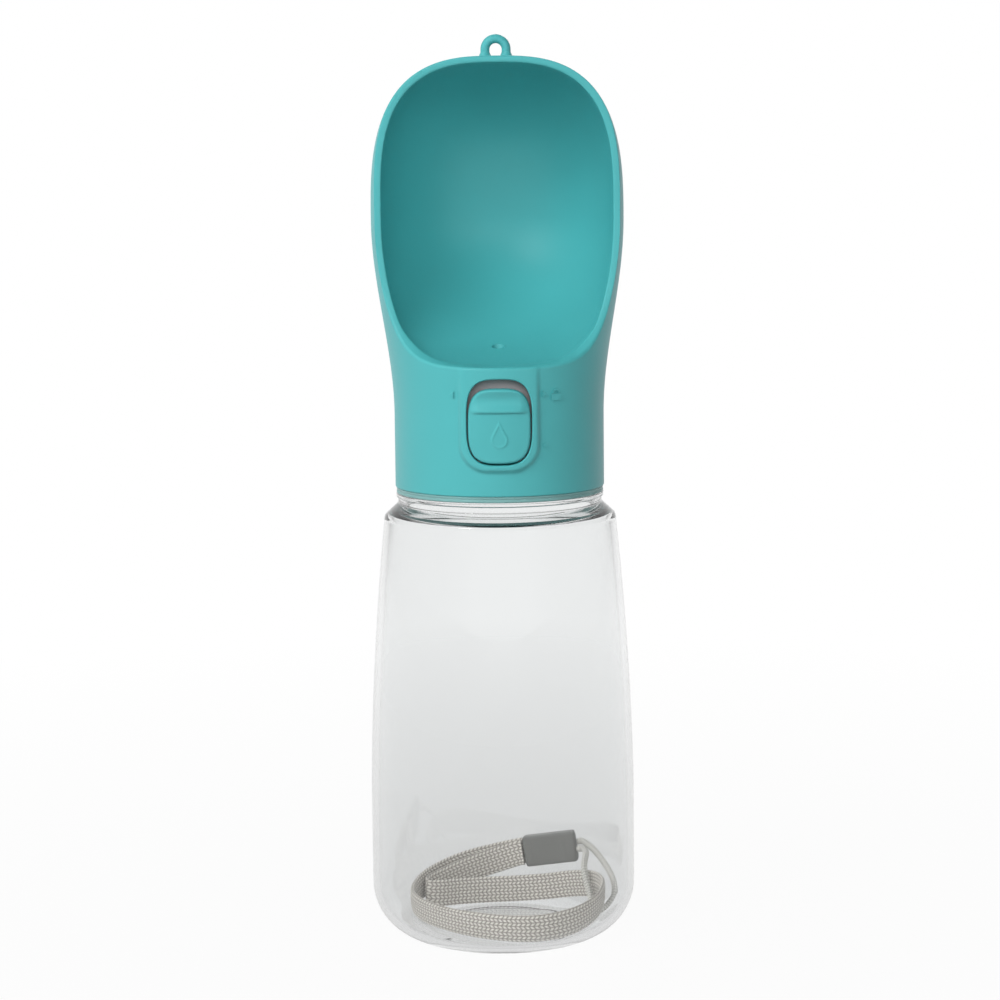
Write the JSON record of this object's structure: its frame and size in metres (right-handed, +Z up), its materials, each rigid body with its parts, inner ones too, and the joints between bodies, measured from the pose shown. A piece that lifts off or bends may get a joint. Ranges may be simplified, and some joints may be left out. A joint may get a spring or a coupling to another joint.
{
  "type": "dog travel water bottle",
  "caption": "Clear bottle with a screw-on drinking scoop; a push button in its skirt opens a spring valve and slides up to lock it; a woven wrist strap lies inside.",
  "frame": {"origin": "on the floor, on the bottle's axis, under its foot", "axes": "+Z up along the bottle's axis; -Y is the front, where the bowl opens and the button sits; +X is to the right as seen from the front"},
  "size_m": [0.0764, 0.0764, 0.2599],
  "materials": {
    "bottle": "clear, polished",
    "head": "smooth, satin gloss",
    "button": "smooth, satin gloss",
    "plate": "fine matte",
    "ring": "translucent silicone, satin",
    "seal": "milky silicone",
    "o_ring": "matte",
    "stem": "smooth acetal",
    "steel": "bright wire",
    "band": "woven",
    "cord": "braided",
    "clamp": "satin"
  },
  "bodies": {
    "vessel": {"bottle": "bottle", "strap_band": "band", "strap_clamp": "clamp", "strap_cord": "cord"},
    "seal": {"neck_seal": "ring"},
    "head": {"head_shell": "head", "valve_body": "head", "duct_seal": "seal", "gland_ring": "head", "stem_seal": "o_ring", "return_spring": "steel", "spring_cap": "head", "cap_seal": "o_ring"},
    "plunger": {"stem": "stem", "valve_washer": "seal", "button_carrier": "plate", "carrier_screw": "steel"},
    "button": {"button": "button"}
  },
  "joints": [
    {"name": "head_lift", "type": "slide", "parent": "vessel", "child": "seal", "axis": [0, 0, 1], "range_m": [0, 0.006]},
    {"name": "head_turn", "type": "hinge", "parent": "seal", "child": "head", "pos_m": [0, 0, 0.132], "axis": [0, 0, 1], "range_deg": [0, 540]},
    {"name": "button_press", "type": "slide", "parent": "head", "child": "plunger", "axis": [0, 1, 0], "range_m": [0, 0.004], "stiffness_N_per_m": 400, "springref_m": -0.004, "deforming": ["return_spring"]},
    {"name": "button_lock", "type": "slide", "parent": "plunger", "child": "button", "axis": [0, 0, 1], "range_m": [0, 0.0022]}
  ],
  "couplings": [
    {"joint": "head_lift", "follows": "head_turn", "m_per_rad": 0.00063662}
  ]
}
